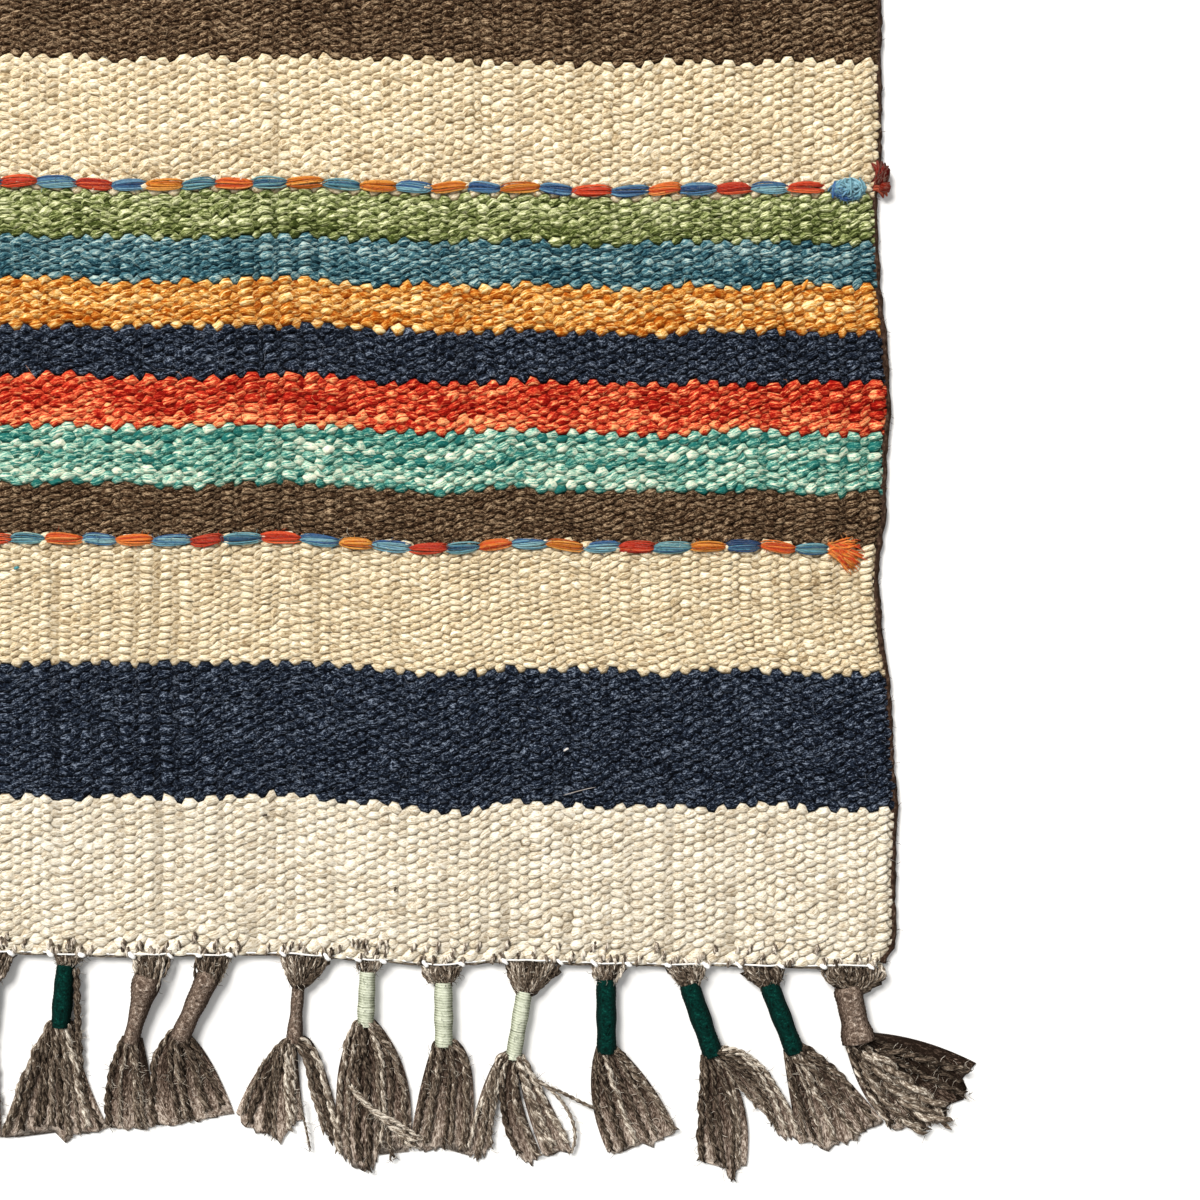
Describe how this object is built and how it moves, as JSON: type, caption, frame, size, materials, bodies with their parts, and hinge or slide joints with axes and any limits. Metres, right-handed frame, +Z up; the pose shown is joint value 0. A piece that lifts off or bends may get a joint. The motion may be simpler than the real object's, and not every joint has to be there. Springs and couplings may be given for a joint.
{
  "type": "kilim rug",
  "caption": "Flat-woven striped wool rug lying flat, with rows of laid-in yarn dashes and knotted, thread-wound tassels along both ends.",
  "frame": {"origin": "the middle of the woven body's underside, on the surface that the rug lies on", "axes": "+X across the rug towards its right selvedge, +Y along it towards the back end, +Z up"},
  "size_m": [0.6295, 1.0352, 0.0064],
  "materials": {
    "weave": "hand-woven wool in cream, navy, brown, red, orange, green, teal and aqua bands, matt",
    "tassel_yarn": "undyed grey-brown marled wool yarn, matt and slightly hairy",
    "tassel_dark_thread": "grey-brown wool yarn, its neck wound with dark green thread",
    "tassel_pale_thread": "grey-brown wool yarn, its neck wound with pale green thread"
  },
  "bodies": {
    "root": {"woven_body": "weave", "front_tassel_01": "tassel_yarn", "front_tassel_02": "tassel_dark_thread", "front_tassel_03": "tassel_dark_thread", "front_tassel_04": "tassel_dark_thread", "front_tassel_05": "tassel_pale_thread", "front_tassel_06": "tassel_pale_thread", "front_tassel_07": "tassel_pale_thread", "front_tassel_08": "tassel_yarn", "front_tassel_09": "tassel_yarn", "front_tassel_10": "tassel_yarn", "front_tassel_11": "tassel_dark_thread", "front_tassel_12": "tassel_dark_thread", "front_tassel_13": "tassel_dark_thread", "front_tassel_14": "tassel_pale_thread", "front_tassel_15": "tassel_pale_thread", "front_tassel_16": "tassel_pale_thread", "front_tassel_17": "tassel_yarn", "front_tassel_18": "tassel_yarn", "front_tassel_19": "tassel_yarn", "front_tassel_20": "tassel_dark_thread", "front_tassel_21": "tassel_dark_thread", "front_tassel_22": "tassel_dark_thread", "front_tassel_23": "tassel_yarn", "back_tassel_01": "tassel_yarn", "back_tassel_02": "tassel_dark_thread", "back_tassel_03": "tassel_dark_thread", "back_tassel_04": "tassel_dark_thread", "back_tassel_05": "tassel_pale_thread", "back_tassel_06": "tassel_pale_thread", "back_tassel_07": "tassel_pale_thread", "back_tassel_08": "tassel_yarn", "back_tassel_09": "tassel_yarn", "back_tassel_10": "tassel_yarn", "back_tassel_11": "tassel_dark_thread", "back_tassel_12": "tassel_dark_thread", "back_tassel_13": "tassel_dark_thread", "back_tassel_14": "tassel_pale_thread", "back_tassel_15": "tassel_pale_thread", "back_tassel_16": "tassel_pale_thread", "back_tassel_17": "tassel_yarn", "back_tassel_18": "tassel_yarn", "back_tassel_19": "tassel_yarn", "back_tassel_20": "tassel_dark_thread", "back_tassel_21": "tassel_dark_thread", "back_tassel_22": "tassel_dark_thread", "back_tassel_23": "tassel_yarn"}
  },
  "joints": []
}
